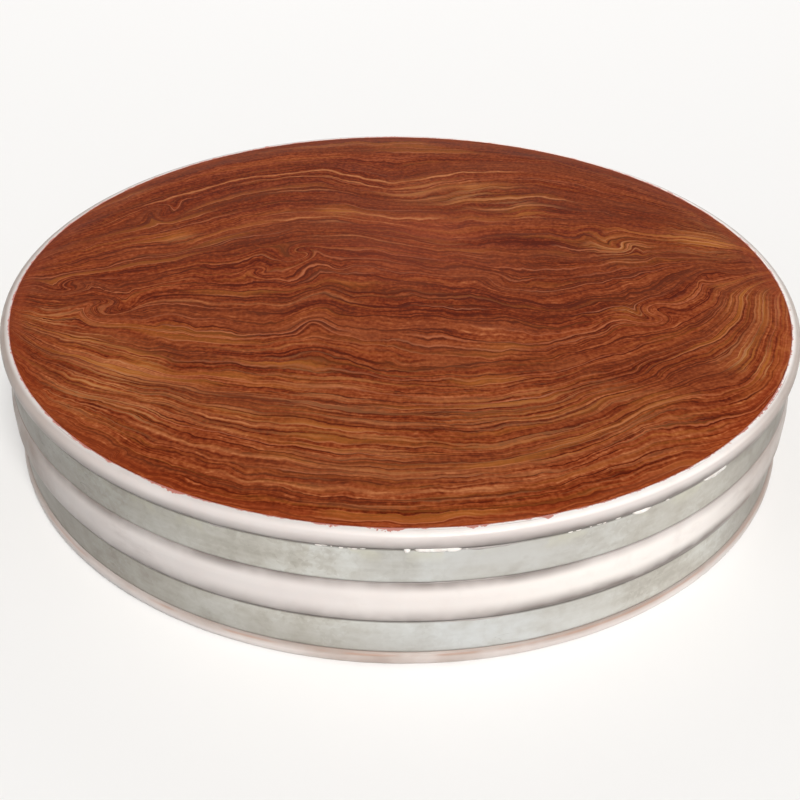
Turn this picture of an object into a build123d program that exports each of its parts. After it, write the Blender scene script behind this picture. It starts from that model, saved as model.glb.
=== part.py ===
from build123d import *

import os
from math import cos, degrees, radians, sin

# A round chopping block: a solid wooden core, a white plastic collar tight on its rim, and two
# steel hoops that lie in the collar's grooves. Each hoop is a strip closed by a riveted lap.
# Lengths are millimetres and angles are degrees. The origin is the centre of the underside,
# +Z is up, and -Y is the front, so both laps lie at the back.

# The whole block
block_diameter = 400.0
block_height = 70.0

# The steel strip of both hoops
hoop_width = 17.0
hoop_thickness = 0.7
hoop_side_gap = 0.25
hoop_seat_gap = 0.1

# The lap that closes a hoop: the strip's outer end steps up over its inner end
lap_length = 36.0
lap_gap = 0.05
step_length = 5.0
step_end_gap = 0.8
upper_lap_bearing = 78.0
lower_lap_bearing = 104.0

# The rivets through a lap
rivet_spacing = 18.0
rivet_shank_diameter = 4.0
rivet_head_diameter = 7.5
rivet_head_height = 0.85
rivet_tail_diameter = 5.2
rivet_tail_thickness = 0.6
rivet_play = 0.1
rivet_sink = 0.2

# The plastic collar: a lip at each face, and a broad bulge between the two grooves. Shoulders
# run from the full radius in to a hoop's surface. The one below the upper hoop is long and
# gentle, so the hoop lies almost flush with the bulge there. The limit shares keep a straight
# side between a lip's rounding and its shoulder, and between the bulge's two shoulders.
top_lip_height = 8.0
base_lip_height = 6.0
lip_round = 3.0
lip_round_limit_share = 0.75
top_lip_shoulder = 4.0
base_lip_shoulder = 3.0
bulge_top_shoulder = 9.0
bulge_base_shoulder = 5.0
bulge_top_limit_share = 0.5
bulge_base_limit_share = 0.3
collar_web = 2.2

# How far every cut runs past what it cuts
cut_overrun = 1.0

# Radii, from the outside in. A rivet's head has to stay behind the bulge.
block_radius = block_diameter / 2
hoop_recess = hoop_thickness + lap_gap + rivet_head_height + rivet_sink
hoop_outer_radius = block_radius - hoop_recess
hoop_inner_radius = hoop_outer_radius - hoop_thickness
groove_floor_radius = hoop_inner_radius - hoop_seat_gap
core_radius = groove_floor_radius - collar_web
lap_inner_radius = hoop_outer_radius + lap_gap
lap_outer_radius = lap_inner_radius + hoop_thickness

# Heights. Each hoop has the height of its lower edge and the bearing of its lap's middle.
groove_height = hoop_width + 2 * hoop_side_gap
bulge_height = block_height - top_lip_height - base_lip_height - 2 * groove_height
hoop_places = {
    "upper_hoop": (block_height - top_lip_height - hoop_side_gap - hoop_width, upper_lap_bearing),
    "lower_hoop": (base_lip_height + hoop_side_gap, lower_lap_bearing),
}


def turn(length):
    """The angle that a length along the hoop covers, seen from the block's axis."""
    return degrees(length / hoop_outer_radius)


def outward(bearing):
    """The level direction from the block's axis at a bearing."""
    return Vector(cos(radians(bearing)), sin(radians(bearing)), 0)


def rim_plane(radius, bearing, height):
    """A plane that faces outward, touching a circle of the given radius."""
    return Plane(origin=outward(bearing) * radius + Vector(0, 0, height), z_dir=outward(bearing))


def rivet_places():
    """The bearing and height of each rivet, two to a lap."""
    places = []
    for hoop_base, lap_bearing in hoop_places.values():
        for side in (-1, 1):
            bearing = lap_bearing + side * turn(rivet_spacing) / 2
            places.append((bearing, hoop_base + hoop_width / 2))
    return places


def draw_rim_half(face_height, lip_height, lip_shoulder, bulge_shoulder, up):
    """Draws the collar's outer side from its bulge to one face. up is 1 above and -1 below."""
    lip_edge = face_height - up * lip_height
    bulge_edge = lip_edge - up * groove_height
    rounding = min(lip_round, (lip_height - lip_shoulder) * lip_round_limit_share)
    face = Line((core_radius, face_height), (block_radius - rounding, face_height))
    corner = TangentArc(face @ 1, (block_radius, face_height - up * rounding), tangent=(1, 0))
    side = Line(corner @ 1, (block_radius, lip_edge + up * lip_shoulder))
    under_lip = TangentArc(side @ 1, (hoop_outer_radius, lip_edge), tangent=(0, -up))
    groove = Polyline(
        under_lip @ 1,
        (groove_floor_radius, lip_edge),
        (groove_floor_radius, bulge_edge),
        (hoop_outer_radius, bulge_edge),
    )
    bulge_side = (block_radius, bulge_edge - up * bulge_shoulder)
    TangentArc(bulge_side, groove @ 1, tangent=(0, up))
    return bulge_side


# A rivet's own heights along its axis, as radii from the block's axis. The hoop is curved, so
# the flat tail starts a little inside it and the head sits flat on the lap.
tail_sagitta = hoop_outer_radius * (1 - cos(radians(turn(rivet_tail_diameter) / 2)))
tail_outer_radius = hoop_inner_radius - tail_sagitta
tail_inner_radius = tail_outer_radius - rivet_tail_thickness
head_top_radius = lap_outer_radius + rivet_head_height

# The wooden core: one disc, as high as the block
with BuildPart() as wood_core:
    with BuildSketch():
        Circle(core_radius)
    extrude(amount=block_height)

# The collar: a straight wall against the core, and the grooved rim outside. On a low block the
# bulge's shoulders shrink with it.
top_shoulder = min(bulge_top_shoulder, bulge_height * bulge_top_limit_share)
base_shoulder = min(bulge_base_shoulder, bulge_height * bulge_base_limit_share)
with BuildPart() as edge_collar:
    with BuildSketch(Plane.XZ):
        with BuildLine():
            Line((core_radius, 0), (core_radius, block_height))
            bulge_top = draw_rim_half(block_height, top_lip_height, top_lip_shoulder, top_shoulder, 1)
            bulge_base = draw_rim_half(0, base_lip_height, base_lip_shoulder, base_shoulder, -1)
            Line(bulge_top, bulge_base)
        make_face()
    revolve(axis=Axis.Z)
    # A shallow pocket in the groove's floor takes each rivet's tail
    for rivet_bearing, rivet_height in rivet_places():
        with BuildSketch(rim_plane(tail_inner_radius - rivet_play, rivet_bearing, rivet_height)):
            Circle(rivet_tail_diameter / 2 + rivet_play)
        extrude(amount=rivet_tail_thickness + rivet_play + cut_overrun, mode=Mode.SUBTRACT)

# The hoops: each strip runs once round the groove, then steps out over its own inner end
hoops = []
for hoop_name, (hoop_base, lap_bearing) in hoop_places.items():
    inner_end = lap_bearing - turn(lap_length) / 2
    step_end = inner_end - turn(step_end_gap)
    step_start = step_end - turn(step_length)
    with BuildPart() as hoop:
        with BuildSketch(Plane.XY.offset(hoop_base)):
            with BuildLine():
                once_round = step_start - inner_end + 360
                lap_angle = turn(lap_length) + turn(step_end_gap)
                strip_inside = CenterArc((0, 0), hoop_inner_radius, inner_end, once_round)
                strip_outside = CenterArc((0, 0), hoop_outer_radius, inner_end, once_round)
                lap_inside = CenterArc((0, 0), lap_inner_radius, step_end, lap_angle)
                lap_outside = CenterArc((0, 0), lap_outer_radius, step_end, lap_angle)
                Line(strip_inside @ 0, strip_outside @ 0)
                Line(strip_inside @ 1, lap_inside @ 0)
                Line(strip_outside @ 1, lap_outside @ 0)
                Line(lap_inside @ 1, lap_outside @ 1)
            make_face()
        extrude(amount=hoop_width)
        # The rivet holes go through both layers of the lap
        drill_start = hoop_inner_radius - cut_overrun
        drill_depth = lap_outer_radius + cut_overrun - drill_start
        for side in (-1, 1):
            bearing = lap_bearing + side * turn(rivet_spacing) / 2
            with BuildSketch(rim_plane(drill_start, bearing, hoop_base + hoop_width / 2)):
                Circle(rivet_shank_diameter / 2 + rivet_play)
            extrude(amount=drill_depth, mode=Mode.SUBTRACT)
    hoop.part.label = hoop_name
    hoops.append(hoop)

# The rivets: a round head outside, a shank through the lap and a flattened tail inside
with BuildPart() as lap_rivets:
    for rivet_bearing, rivet_height in rivet_places():
        rivet_axis = Axis((0, 0, rivet_height), outward(rivet_bearing))
        across = outward(rivet_bearing).cross(Vector(0, 0, 1))
        profile_plane = Plane(rivet_axis.position, x_dir=rivet_axis.direction, z_dir=across)
        with BuildSketch(profile_plane):
            with BuildLine():
                body = Polyline(
                    (tail_inner_radius, 0),
                    (tail_inner_radius, rivet_tail_diameter / 2),
                    (tail_outer_radius, rivet_tail_diameter / 2),
                    (tail_outer_radius, rivet_shank_diameter / 2),
                    (lap_outer_radius, rivet_shank_diameter / 2),
                    (lap_outer_radius, rivet_head_diameter / 2),
                )
                dome = TangentArc((head_top_radius, 0), body @ 1, tangent=(0, 1))
                Line(dome @ 0, body @ 0)
            make_face()
        revolve(axis=rivet_axis)

wood_core.part.label = "wood_core"
edge_collar.part.label = "edge_collar"
lap_rivets.part.label = "lap_rivets"

os.makedirs("parts", exist_ok=True)
for piece in (wood_core, edge_collar, *hoops, lap_rivets):
    export_step(piece.part, f"parts/{piece.part.label}.step")
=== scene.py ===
# %% [markdown]
# # A round chopping block
#
# The real thing is a thick disc of red-brown wood with a white plastic collar round its rim.
# Two galvanised steel hoops lie in the collar's grooves and hold it tight. This lesson dresses
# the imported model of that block: the wood's folded grain, the waxy plastic, the dull steel and
# the rivets that close each hoop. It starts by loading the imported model, which fixes every size.

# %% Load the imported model
import math

import bmesh
import bpy
from mathutils import Matrix, Vector


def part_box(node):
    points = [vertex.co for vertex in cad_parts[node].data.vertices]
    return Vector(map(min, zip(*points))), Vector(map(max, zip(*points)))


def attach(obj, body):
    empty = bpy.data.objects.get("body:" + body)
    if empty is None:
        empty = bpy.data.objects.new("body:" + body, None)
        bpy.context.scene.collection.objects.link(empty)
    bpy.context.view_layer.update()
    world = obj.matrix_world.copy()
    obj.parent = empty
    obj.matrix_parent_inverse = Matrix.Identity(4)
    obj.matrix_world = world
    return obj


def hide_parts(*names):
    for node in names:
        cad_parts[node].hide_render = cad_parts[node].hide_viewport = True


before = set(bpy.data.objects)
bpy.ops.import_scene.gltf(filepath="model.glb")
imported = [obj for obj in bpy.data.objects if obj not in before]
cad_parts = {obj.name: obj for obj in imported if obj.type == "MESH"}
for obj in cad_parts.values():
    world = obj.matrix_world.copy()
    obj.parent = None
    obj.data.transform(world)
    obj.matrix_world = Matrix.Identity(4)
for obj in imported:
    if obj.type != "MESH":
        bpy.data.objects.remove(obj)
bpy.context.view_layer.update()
print("nodes:", sorted(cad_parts))

# %% Read the block's sizes from the model
mm = 0.001
core_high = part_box("wood_core")[1]
collar_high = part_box("edge_collar")[1]
core_radius = core_high.x
block_radius = min(collar_high.x, collar_high.y)
block_height = core_high.z
print(f"core radius {core_radius:.4f} m, block radius {block_radius:.4f} m, height {block_height:.4f} m")

# %% [markdown]
# ## Helpers for node trees
#
# Materials and Geometry Nodes are both trees of nodes. Written out node by node they are hard to
# read, so two helpers carry the wiring. `add` makes one node and fills its inputs. `Wire` wraps a
# number that leaves a node, so that `a * b + c` in Python adds the Math nodes that compute it. A
# Wire has to stand at the left of each sum. Every socket knows its own tree, as its id_data, so
# most helpers need no tree. `ramp` is used most: it makes a smooth step of the part of a number
# that lies between two values, and such a step places a colour or a stain.

# %% Helpers that add and join nodes
def fill(node, inputs):
    """Feeds a node's inputs, by name or number, with wires, output sockets or plain values."""
    for name, value in inputs.items():
        source = value.source if isinstance(value, Wire) else value
        if isinstance(source, bpy.types.NodeSocket):
            node.id_data.links.new(source, node.inputs[name])
        else:
            node.inputs[name].default_value = source


def add(tree, kind, inputs=None, **settings):
    """Adds a node of that kind, with its settings and its inputs."""
    node = tree.nodes.new(kind)
    for name, value in settings.items():
        setattr(node, name, value)
    fill(node, inputs or {})
    return node


class Wire:
    """A number on its way through a node tree. Arithmetic on it adds Math nodes."""

    def __init__(self, source):
        self.source = source
        self.tree = source.id_data

    def math(self, operation, *others):
        inputs = dict(enumerate((self, *others)))
        return Wire(add(self.tree, "ShaderNodeMath", inputs, operation=operation).outputs[0])

    def __add__(self, other):
        return self.math("ADD", other)

    def __sub__(self, other):
        return self.math("SUBTRACT", other)

    def __mul__(self, other):
        return self.math("MULTIPLY", other)

    def __truediv__(self, other):
        return self.math("DIVIDE", other)

    def ramp(self, low, high, start=0, end=1):
        """Goes smoothly from start to end while the number goes from low to high."""
        inputs = {"Value": self, "From Min": low, "From Max": high, "To Min": start, "To Max": end}
        node = add(self.tree, "ShaderNodeMapRange", inputs, interpolation_type="SMOOTHSTEP")
        return Wire(node.outputs["Result"])


def gather(operation, wires):
    """Adds up wires, or takes the largest, with one Math node after another."""
    total, *others = wires
    for wire in others:
        total = total.math(operation, wire)
    return total


def near(number, middle, reach):
    """1 where a number equals the middle, falling to 0 at the reach on both sides."""
    return (number - middle).math("ABSOLUTE").ramp(0, reach, 1, 0)


# %% Helpers for vectors and noises
def combine(x, y, z):
    return add(x.tree, "ShaderNodeCombineXYZ", {"X": x, "Y": y, "Z": z}).outputs[0]


def separate(vector):
    node = add(vector.id_data, "ShaderNodeSeparateXYZ", {"Vector": vector})
    return [Wire(output) for output in node.outputs]


def vector_math(operation, first, second=None):
    """Vector Math on a socket. SCALE takes a number as its second, LENGTH takes none."""
    inputs = {0: first}
    if second is not None:
        inputs["Scale" if operation == "SCALE" else 1] = second
    node = add(first.id_data, "ShaderNodeVectorMath", inputs, operation=operation)
    return node.outputs["Value" if operation in ("LENGTH", "DOT_PRODUCT") else "Vector"]


def noise_node(vector, scale, detail=2, roughness=0.5):
    inputs = {"Vector": vector, "Scale": scale, "Detail": detail, "Roughness": roughness}
    return add(vector.id_data, "ShaderNodeTexNoise", inputs)


def noise(*inputs):
    """A noise from 0 to 1, with the inputs of noise_node."""
    return Wire(noise_node(*inputs).outputs[0])


def stretched_noise(x, y, third, flat_scale, third_scale, detail, roughness=0.5):
    """A noise with one scale for x and y, and another for a third number."""
    return noise(combine(x * flat_scale, y * flat_scale, third * third_scale), 1, detail, roughness)


# %% Helpers for materials
def new_material(name):
    """An empty material tree with a Principled shader and an output."""
    material = bpy.data.materials.new(name)
    material.use_nodes = True
    tree = material.node_tree
    tree.nodes.clear()
    shader = add(tree, "ShaderNodeBsdfPrincipled")
    add(tree, "ShaderNodeOutputMaterial", {"Surface": shader.outputs[0]})
    return material, tree, shader


def add_bump(shader, height, distance, strength):
    inputs = {"Height": height, "Distance": distance, "Strength": strength}
    fill(shader, {"Normal": add(height.tree, "ShaderNodeBump", inputs).outputs[0]})


def colour(red, green, blue):
    """A colour given as on a screen, from 0 to 255, as the linear light that nodes use."""
    def linear(value):
        share = value / 255
        return share / 12.92 if share <= 0.04045 else ((share + 0.055) / 1.055) ** 2.4

    return (linear(red), linear(green), linear(blue), 1.0)


def blend_colour(amount, first, second):
    """first where amount is 0, second where it is 1."""
    inputs = {0: amount, 6: first, 7: second}
    return add(amount.tree, "ShaderNodeMix", inputs, data_type="RGBA").outputs[2]


def paint(base, coats):
    """Lays coats over a colour, one after another. A coat is its amount and its screen colour."""
    for amount, screen_colour in coats:
        base = blend_colour(amount, base, colour(*screen_colour))
    return base


def colour_ramp(amount, stops):
    """The colour that a list of (position, screen colour) gives for an amount from 0 to 1."""
    node = add(amount.tree, "ShaderNodeValToRGB", {"Fac": amount})
    elements = node.color_ramp.elements
    while len(elements) < len(stops):
        elements.new(0.5)
    for element, (position, screen_colour) in zip(elements, stops):
        element.position = position
        element.color = colour(*screen_colour)
    return node.outputs["Color"]


print("a screen's middle grey is", round(colour(128, 128, 128)[0], 3), "in linear light")

# %% [markdown]
# ## The wood's grain
#
# The top shows long veins that start near the left edge, bow round the rim or run straight
# across the middle, and meet again near the right edge. In between they are folded and kinked.
# An image would be one way to show this. Here the veins are computed: every point of the wood
# gets two numbers, how far along the grain it lies and how far across, and folds bend the point
# before the two numbers are worked out. Each kind of fold is a small node group of its own.

# %% Node groups that bend the grain
def bell(point, centre, reach):
    """1 at the centre, falling smoothly to almost 0 at about twice the reach."""
    away = vector_math("SUBTRACT", point, centre)
    squared = Wire(vector_math("DOT_PRODUCT", away, away))
    return (squared / (reach * reach) * -1).math("EXPONENT")


def bend_group(name, amount_name, amount_kind, bend):
    """A node group that bends a point near a centre. bend gives the new point."""
    tree = bpy.data.node_groups.new(name, "ShaderNodeTree")
    kinds = {"Point": "Vector", "Centre": "Vector", "Reach": "Float", amount_name: amount_kind}
    for socket_name, kind in kinds.items():
        tree.interface.new_socket(socket_name, in_out="INPUT", socket_type="NodeSocket" + kind)
    tree.interface.new_socket("Point", in_out="OUTPUT", socket_type="NodeSocketVector")
    given = tree.nodes.new("NodeGroupInput").outputs
    strength = bell(given["Point"], given["Centre"], Wire(given["Reach"]))
    add(tree, "NodeGroupOutput", {"Point": bend(given, strength)})
    return tree


def twist(given, strength):
    """Turns the grain round the centre, most at the centre."""
    inputs = {"Vector": given["Point"], "Center": given["Centre"], "Angle": strength * given["Turn"]}
    return add(strength.tree, "ShaderNodeVectorRotate", inputs, rotation_type="Z_AXIS").outputs[0]


def push(given, strength):
    """Pushes the grain to one side, most at the centre."""
    shift = vector_math("SCALE", given["Push"], strength)
    return vector_math("SUBTRACT", given["Point"], shift)


twist_group = bend_group("grain_twist", "Turn", "Float", twist)
push_group = bend_group("grain_push", "Push", "Vector", push)
print("groups:", twist_group.name, push_group.name)

# %% Where the folds lie
# Each place is in shares of the core's radius, seen from above: x to the right and y to the back.
# Then come the reach and a strength: degrees for a twist, the way to the back for a push.
twists = [
    (-0.75, -0.17, 0.06, 120), (-0.86, -0.06, 0.05, -110), (-0.7, 0.4, 0.05, 130),
    (-0.28, 0.15, 0.045, -140), (-0.38, 0.05, 0.035, 110), (0.64, -0.17, 0.05, -120),
    (0.86, 0.03, 0.07, 100), (0.62, 0.2, 0.05, -80), (0.25, -0.04, 0.06, 40),
    (-0.58, -0.78, 0.02, 80),
]
pushes = [
    (-0.3, 0.3, 0.28, 0.11), (0.42, -0.18, 0.34, -0.12), (-0.36, 0.62, 0.26, 0.09),
    (-0.02, 0.55, 0.18, -0.08), (0.42, 0.62, 0.22, 0.05), (-0.2, -0.1, 0.06, 0.035),
    (-0.21, -0.22, 0.05, 0.035), (-0.2, -0.35, 0.06, 0.03), (0.3, -0.4, 0.24, -0.05),
    (-0.55, -0.02, 0.14, 0.03), (-0.12, 0.02, 0.25, 0.04), (0.75, 0.1, 0.12, 0.03),
    (-0.4, -0.42, 0.3, -0.05), (0.12, -0.55, 0.3, -0.07), (0.62, -0.55, 0.22, 0.05),
    (-0.62, -0.6, 0.16, 0.04),
]
# Where the veins are crumpled
crumples = [
    (-0.82, -0.1, 0.11, 1), (-0.72, -0.2, 0.09, 0.9), (-0.72, 0.38, 0.1, 0.8),
    (-0.33, 0.1, 0.1, 0.9), (-0.2, -0.02, 0.08, 0.5), (0.62, -0.14, 0.1, 0.8),
    (0.85, 0.02, 0.13, 1), (0.62, 0.2, 0.1, 0.8), (0.82, 0.28, 0.12, 0.6),
]
print(len(twists), "twists,", len(pushes), "pushes,", len(crumples), "crumples")

# %% Helpers that bend a point
def add_folds(point):
    """Bends the point by every twist, then by every push."""
    folds = [(twist_group, x, y, reach, "Turn", math.radians(turn)) for x, y, reach, turn in twists]
    folds += [(push_group, x, y, reach, "Push", (0, way, 0)) for x, y, reach, way in pushes]
    for group, x, y, reach, amount_name, amount in folds:
        inputs = {"Point": point, "Centre": (x, y, 0), "Reach": reach, amount_name: amount}
        point = add(point.id_data, "ShaderNodeGroup", inputs, node_tree=group).outputs["Point"]
    return point


def total_of(flat, places):
    """The sum of the strengths at a point, for a list of places."""
    return gather("ADD", [bell(flat, (x, y, 0), reach) * strength for x, y, reach, strength in places])


def wander(point, scale, amount, strength=None, detail=1):
    """Moves the point by a noise, so that straight veins wander."""
    cloud = noise_node(point, scale, detail).outputs["Color"]
    shift = vector_math("SUBTRACT", cloud, (0.5, 0.5, 0.5))
    shift = vector_math("MULTIPLY", shift, amount)
    if strength is not None:
        shift = vector_math("SCALE", shift, strength)
    return vector_math("ADD", point, shift)


# %% [markdown]
# ## From a bent point to the grain
#
# The veins of the top all start near one point at the left and end near one at the right, like
# the meridians of a globe. So the number across the grain is a point's distance from the middle
# line, divided by the width that is left between the two poles. At the front right the real veins
# leave this pattern and run with the rim, and there the number comes from the distance to it.

# %% The grain's two numbers at each point
grain_tilt = math.radians(6)
pole_share = 1.05
least_width = 0.03
rim_vein_share = 0.85


def grain_numbers(tree):
    """Along and across the grain, the distance from the axis, the flat point and the height."""
    place = add(tree, "ShaderNodeTexCoord").outputs["Object"]
    x, y, z = separate(vector_math("SCALE", place, 1 / core_radius))
    flat = combine(x, y, 0)
    from_axis = Wire(vector_math("LENGTH", flat))
    calm = from_axis.ramp(0.7, 1, 1, 0.12)
    wavy = calm * y.ramp(-0.75, -0.35, 0.35, 1)
    point = wander(combine(x, y, z * 4), 1.5, (0, 0.14, 0), calm)
    point = wander(point, 3.4, (0.06, 0.11, 0), wavy, 2)
    bent_x, bent_y = separate(point)[:2]
    point = add_folds(combine(bent_x, bent_y, 0))
    crumple = total_of(flat, crumples)
    point = wander(point, 9, (0.04, 0.06, 0), crumple * calm + 0.85)
    point = wander(point, 26, (0.014, 0.016, 0), crumple * calm + 0.75)
    point = wander(point, 70, (0.004, 0.005, 0))
    tilt_inputs = {"Vector": point, "Angle": -grain_tilt}
    tilted = add(tree, "ShaderNodeVectorRotate", tilt_inputs, rotation_type="Z_AXIS")
    along, sideways = separate(tilted.outputs[0])[:2]
    width = along / pole_share
    width = (width * width * -1 + 1).math("MAXIMUM", least_width).math("SQRT")
    across = sideways / width
    # At the front right the veins turn up and run along the rim
    with_rim = from_axis.ramp(0.76, 0.98) * x.ramp(0.5, 0.85) * y.ramp(-0.08, 0.12, 1, 0)
    rim_across = (from_axis - 0.8) * -1.6 + (sideways - bent_y) * 0.5 - 0.45
    across = across + (rim_across - across) * with_rim * rim_vein_share
    return along, across, from_axis, flat, z


# %% [markdown]
# ## The wood's finish
#
# Sawn across its layers, the wood shows hundreds of thin bands with now and then a dark crack-like
# line or a golden streak between them. A single noise would look like cloth. The tone is therefore
# a sum: broad, medium and fine bands, pores, thin dark lines at the edges of layers, and single
# veins in the places where the block has them. A colour ramp turns the tone into the browns of the
# wood. Coats of gold and of paler brown then lie over it, most in the places listed below, and the
# fine bands also shape the sheen and a slight relief.

# %% Where the wood glows, and its single veins
# x, y and reach as for the folds, then how much more golden (above 0) or darker (below 0) it is
glows = [
    (-0.88, -0.24, 0.07, 0.7), (-0.77, -0.34, 0.07, 0.7), (-0.64, -0.43, 0.07, 0.7),
    (-0.7, -0.54, 0.09, 0.7), (-0.56, -0.62, 0.08, 0.6), (0.05, 0.55, 0.08, 0.4),
    (0.18, 0.53, 0.08, 0.5), (0.31, 0.53, 0.08, 0.4), (0.37, 0.41, 0.06, 0.6),
    (-0.2, 0.38, 0.05, 0.6), (-0.62, 0.22, 0.06, 0.5), (0.61, 0.19, 0.08, 0.8),
    (0.86, 0.24, 0.09, 0.8), (0.93, -0.12, 0.09, 0.7), (0.86, -0.38, 0.09, 0.9),
    (0.58, -0.17, 0.04, 0.8), (0.1, -0.76, 0.3, 0.3), (-0.25, -0.52, 0.2, 0.3),
    (0.45, -0.62, 0.2, 0.3), (0.28, 0.04, 0.3, -0.25), (0.58, -0.38, 0.1, -0.5),
    (0.78, -0.5, 0.05, -0.8), (-0.55, 0.12, 0.12, -0.4), (0.95, 0.06, 0.05, -0.8),
    (-0.95, -0.1, 0.05, -0.8),
]
# Place across the grain, where the vein starts and ends along it, half width, change of tone
veins = [
    (0.68, -0.8, 0.5, 0.005, 0.55), (0.63, -0.5, 0.25, 0.004, 0.45), (0.57, -0.05, 0.4, 0.012, 0.3),
    (0.47, 0.12, 0.6, 0.004, 0.5), (0.42, 0.2, 0.55, 0.004, 0.45), (0.36, -0.15, 0.22, 0.005, 0.55),
    (0.3, -0.4, 0.1, 0.004, 0.4), (0.16, -0.3, 0.15, 0.004, 0.4), (0.52, -0.4, -0.05, 0.004, 0.35),
    (0.2, -0.15, 0.6, 0.005, -0.34), (0.1, 0.05, 0.45, 0.004, -0.3), (-0.1, -0.85, -0.05, 0.005, 0.25),
    (-0.13, -0.62, 0.35, 0.005, -0.38), (-0.24, -0.6, 0.3, 0.004, -0.3), (-0.36, -0.9, 0.25, 0.005, -0.36),
    (-0.52, -0.55, 0.4, 0.005, -0.38), (-0.44, 0.32, 0.8, 0.022, -0.2), (0.6, 0.05, 0.6, 0.004, 0.4),
    (0.53, 0, 0.35, 0.004, 0.4), (0.22, 0.5, 0.75, 0.005, 0.4), (0.26, 0.74, 0.96, 0.006, 0.4),
    (-0.45, -0.92, -0.5, 0.012, 0.3), (-0.52, -0.9, -0.4, 0.005, 0.35), (-0.59, -0.86, -0.3, 0.005, 0.35),
    (-0.65, -0.82, -0.25, 0.004, 0.3), (-0.7, -0.78, -0.35, 0.01, 0.3), (-0.79, -0.7, -0.1, 0.005, 0.3),
    (-0.87, -0.5, 0.2, 0.005, 0.25), (-0.4, 0.7, 0.95, 0.006, 0.35), (-0.58, -0.25, 0.55, 0.005, 0.28),
    (-0.66, 0, 0.6, 0.004, -0.32), (-0.8, -0.3, 0.5, 0.01, 0.14),
]
print(len(glows), "glows and", len(veins), "single veins")

# %% Patterns that are drawn with the grain's numbers
class Grain:
    """The grain's numbers in one material, and the patterns that several steps share."""

    def __init__(self, tree):
        self.tree = tree
        self.along, self.across, self.from_axis, self.flat, self.z = grain_numbers(tree)
        self.x, self.y = separate(self.flat)[:2]
        self.level = self.z * 3
        self.broad = self.bands(0.5, 4.5, 2, 0.5)
        self.fine = self.bands(3, 70, 2, 0.9, 3)
        self.fibre = self.bands(9, 130, 1, 0.5, 5)
        self.fleck = noise(combine(self.x, self.y, self.z), 105, 1, 0.5)
        self.glow = total_of(self.flat, glows)
        # At the right end, close to the collar, the wood is swirled
        self.swirl = stretched_noise(self.x, self.y, self.from_axis, 8, 18, 4, 0.8)
        self.ends = self.from_axis.ramp(0.9, 0.98) * self.x.ramp(0.78, 0.92)

    def bands(self, stretch, frequency, detail, roughness, shift=0):
        """Noise in long bands: slow along the grain and quick across it."""
        along = self.along * stretch + shift
        vector = combine(along, self.across * frequency, self.level + shift)
        return noise(vector, 1, detail, roughness)


class Layers:
    """Layers across the grain, with a sharp line at the edge of each.

    chance holds each layer's three random numbers, part is how far through its layer a point
    lies, line is the line at its edge, and fade is where that line shows.
    """

    def __init__(self, grain, frequency, waver, edge, shift, fade, least_chance):
        wavering = grain.bands(0.9, frequency * 0.2, 2, 0.5, shift) * waver
        count = grain.across * frequency + wavering + shift
        index = count.math("FLOOR")
        cells = add(grain.tree, "ShaderNodeTexWhiteNoise", {"W": index}, noise_dimensions="1D")
        self.chance = separate(cells.outputs["Color"])
        self.part = count - index
        self.line = self.part.ramp(1 - edge, 1 - edge / 2) * self.part.ramp(1 - edge / 4, 1, 1, 0)
        self.fade = fade * self.chance[0].ramp(0.2, least_chance)


# %% The wood's pores and single veins
vein_fade = 0.12


def pores(grain):
    """How much lighter, and how much darker, the long pores make the wood."""
    bed = combine(grain.along * 20, grain.across * 110, grain.level)
    cells = add(grain.tree, "ShaderNodeTexVoronoi", {"Vector": bed, "Scale": 1, "Randomness": 1})
    chance = separate(cells.outputs["Color"])[0]
    shape = Wire(cells.outputs["Distance"]).ramp(0.2, 0.5, 1, 0)
    return shape * chance.ramp(0.8, 0.94) * 0.24, shape * chance.ramp(0.1, 0.3, 0.2, 0)


def add_veins(grain, tone):
    """The tone with every single vein added, and the sum of the veins that are golden."""
    unsteady = grain.bands(6, 6, 2, 0.6, 61)
    golden_veins = []
    for place, start, end, half_width, change in veins:
        vein = near(grain.across + (unsteady - 0.5) * 0.02, place, half_width * 2)
        reach = grain.along.ramp(start, start + vein_fade) * grain.along.ramp(end - vein_fade, end, 1, 0)
        vein = vein * reach * unsteady.ramp(0.3, 0.6, 0.35, 1) * change
        tone = tone + vein
        if change > 0:
            golden_veins.append(vein)
    return tone, gather("ADD", golden_veins)


# %% The wood's tone
def band_tone(grain, plain):
    """The tone of the bands, flecks and pores. It is calmer where the wood is plain."""
    medium = grain.bands(1, 19, 2, 0.8, 7)
    quiet = plain * -0.35 + 1
    tone = (grain.broad - 0.5) * (plain * 0.35 + 0.35) + (medium - 0.5) * 0.34 - plain * 0.1 + 0.448
    tone = tone + ((grain.fine - 0.5) * 0.78 + (grain.fibre - 0.5) * 0.8) * quiet
    light_pores, dark_pores = pores(grain)
    return tone + (grain.fleck - 0.5) * 0.8 + light_pores - dark_pores


def add_layers(tone, plain, thick, thin, slim):
    """The tone with a random tone for each layer, and with dark lines at the layers' edges."""
    dark_lines = thick.line * thick.fade * 0.64 + thin.line * thin.fade * 0.64
    dark_lines = dark_lines + slim.line * slim.fade * 0.54
    tone = tone - dark_lines * (plain * -0.55 + 1)
    for layers, strength in ((thick, 0.16), (thin, 0.14), (slim, 0.12)):
        tone = tone + (layers.chance[1] - 0.5) * strength
    for layers, strength in ((thick, 0.07), (thin, 0.06)):
        tone = tone - layers.part * layers.part * layers.fade * strength
    return tone


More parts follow.
